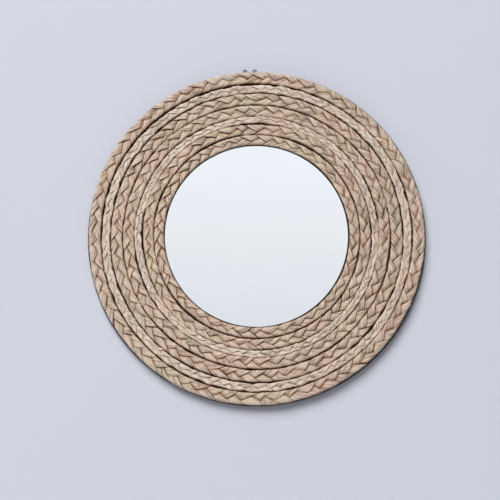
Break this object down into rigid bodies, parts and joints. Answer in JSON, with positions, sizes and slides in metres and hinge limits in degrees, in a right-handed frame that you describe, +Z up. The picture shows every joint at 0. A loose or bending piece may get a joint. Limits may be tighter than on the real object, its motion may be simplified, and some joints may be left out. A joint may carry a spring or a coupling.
{
  "type": "round wall mirror with a plaited frame",
  "caption": "Round wall mirror with a broad flat frame of closed concentric rings of three-strand leaf plait on a dark backing board, hung by eyes above its rim.",
  "frame": {"origin": "centre of the backing board's back face, in the plane of the wall", "axes": "+Y points through the back into the wall, the glass faces -Y; +Z is up as it hangs; +X is to the right seen from in front"},
  "size_m": [0.5996, 0.0203, 0.607],
  "materials": {
    "leaf_plait": "dry plaited leaf, fine ribs along each strand, matt",
    "pale_plait": "pale dry plaited leaf, wrinkled, matt",
    "mirror": "silvered flat glass",
    "board": "fibreboard painted near-black, matt",
    "steel": "thin steel, blackened, satin"
  },
  "bodies": {
    "root": {"backing_board": "board", "mirror_glass": "mirror", "rim_plait": "leaf_plait", "outer_pale_plait": "pale_plait", "second_plait": "leaf_plait", "third_plait": "leaf_plait", "inner_pale_plait": "pale_plait", "fourth_plait": "leaf_plait", "glass_plait": "leaf_plait", "hanger_plate": "steel", "plate_screw_left": "steel", "plate_screw_right": "steel"}
  },
  "joints": []
}
